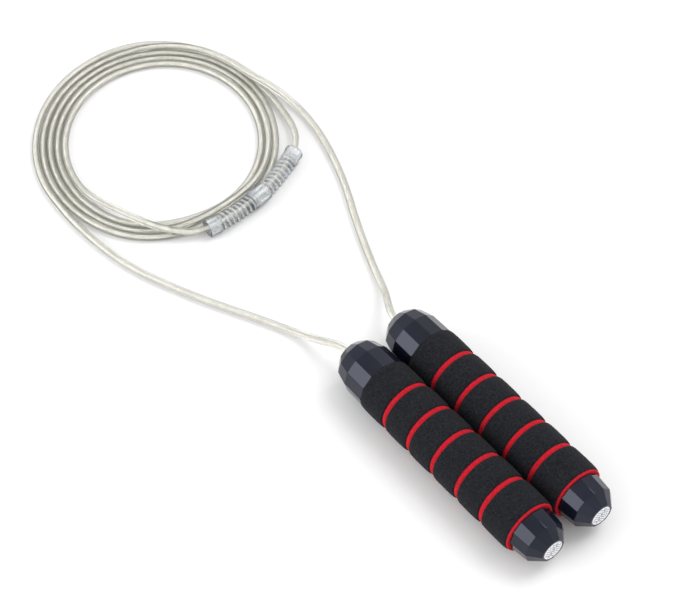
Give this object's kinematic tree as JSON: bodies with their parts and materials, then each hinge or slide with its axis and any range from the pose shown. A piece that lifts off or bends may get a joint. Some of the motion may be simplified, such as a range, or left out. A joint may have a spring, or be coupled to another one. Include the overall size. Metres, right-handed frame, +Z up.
{
  "type": "jump rope",
  "caption": "Jump rope: two foam-grip handles with faceted caps spin on ball bearings around a coated cable, stored coiled, with clear wear sleeves where the rope meets the floor.",
  "frame": {"origin": "on the floor plane, midway between the two handle axes and halfway along the handles (bottom centre of the handles' box, without the cable)", "axes": "+Y along both handles, from the butt caps to the nose caps where the rope leaves; +X across the pair from the left handle to the right; +Z up from the floor the object lies on"},
  "size_m": [0.1663, 0.4648, 0.035],
  "materials": {
    "rope_coating": "clear coating over steel strand",
    "steel_strand": "twisted wire",
    "clear_sleeve": "water-clear moulding",
    "smoked_cap": "polished facets, slightly translucent",
    "black_foam": "matte closed-cell foam",
    "red_foam": "matte closed-cell foam",
    "hard_tube": "moulded",
    "badge_metal": "bright pressed disc",
    "bearing_steel": "ground",
    "ball_steel": "polished",
    "brass": "turned",
    "screw_steel": "blackened"
  },
  "bodies": {
    "rope": {"rope_coil": "rope_coating", "rope_tail_left": "rope_coating", "rope_tail_right": "rope_coating", "rope_sleeve_run": "rope_coating", "left_rope_end": "rope_coating", "left_rope_strand": "steel_strand", "left_spindle": "brass", "left_washer": "bearing_steel", "left_inner_race": "bearing_steel", "right_rope_end": "rope_coating", "right_rope_strand": "steel_strand", "right_spindle": "brass", "right_washer": "bearing_steel", "right_inner_race": "bearing_steel"},
    "left_handle": {"left_nose_cap": "smoked_cap", "left_core_tube": "hard_tube", "left_red_foam": "red_foam", "left_black_foam": "black_foam", "left_bearing_keeper": "hard_tube", "left_outer_race": "bearing_steel", "left_dust_shields": "bearing_steel"},
    "left_ball_train": {"left_balls": "ball_steel", "left_ball_cage": "brass"},
    "left_stop": {"left_rope_stop": "brass", "left_stop_screw": "screw_steel"},
    "left_butt": {"left_butt_cap": "smoked_cap", "left_badge": "badge_metal"},
    "right_handle": {"right_nose_cap": "smoked_cap", "right_core_tube": "hard_tube", "right_red_foam": "red_foam", "right_black_foam": "black_foam", "right_bearing_keeper": "hard_tube", "right_outer_race": "bearing_steel", "right_dust_shields": "bearing_steel"},
    "right_ball_train": {"right_balls": "ball_steel", "right_ball_cage": "brass"},
    "right_stop": {"right_rope_stop": "brass", "right_stop_screw": "screw_steel"},
    "right_butt": {"right_butt_cap": "smoked_cap", "right_badge": "badge_metal"},
    "wear_sleeves": {"wear_sleeve_lower": "clear_sleeve", "wear_sleeve_upper": "clear_sleeve"}
  },
  "joints": [
    {"name": "left_handle_spin", "type": "hinge", "parent": "rope", "child": "left_handle", "pos_m": [-0.01765, 0, 0.0175], "axis": [0, 1, 0], "continuous": true},
    {"name": "left_ball_orbit", "type": "hinge", "parent": "rope", "child": "left_ball_train", "pos_m": [-0.01765, 0, 0.0175], "axis": [0, 1, 0], "continuous": true},
    {"name": "left_stop_adjust", "type": "slide", "parent": "rope", "child": "left_stop", "axis": [0, -1, 0], "range_m": [0, 0.045]},
    {"name": "left_butt_pull", "type": "slide", "parent": "left_handle", "child": "left_butt", "axis": [0, -1, 0], "range_m": [0, 0.03]},
    {"name": "right_handle_spin", "type": "hinge", "parent": "rope", "child": "right_handle", "pos_m": [0.01765, 0, 0.0175], "axis": [0, 1, 0], "continuous": true},
    {"name": "right_ball_orbit", "type": "hinge", "parent": "rope", "child": "right_ball_train", "pos_m": [0.01765, 0, 0.0175], "axis": [0, 1, 0], "continuous": true},
    {"name": "right_stop_adjust", "type": "slide", "parent": "rope", "child": "right_stop", "axis": [0, -1, 0], "range_m": [0, 0.045]},
    {"name": "right_butt_pull", "type": "slide", "parent": "right_handle", "child": "right_butt", "axis": [0, -1, 0], "range_m": [0, 0.03]},
    {"name": "sleeve_travel", "type": "hinge", "parent": "rope", "child": "wear_sleeves", "pos_m": [-0.0025, 0.344, 0.0057], "axis": [0, 0, 1], "range_deg": [-1, 1]}
  ],
  "couplings": [
    {"joint": "left_ball_orbit", "follows": "left_handle_spin", "ratio": 0.58333},
    {"joint": "right_ball_orbit", "follows": "right_handle_spin", "ratio": 0.58333}
  ]
}
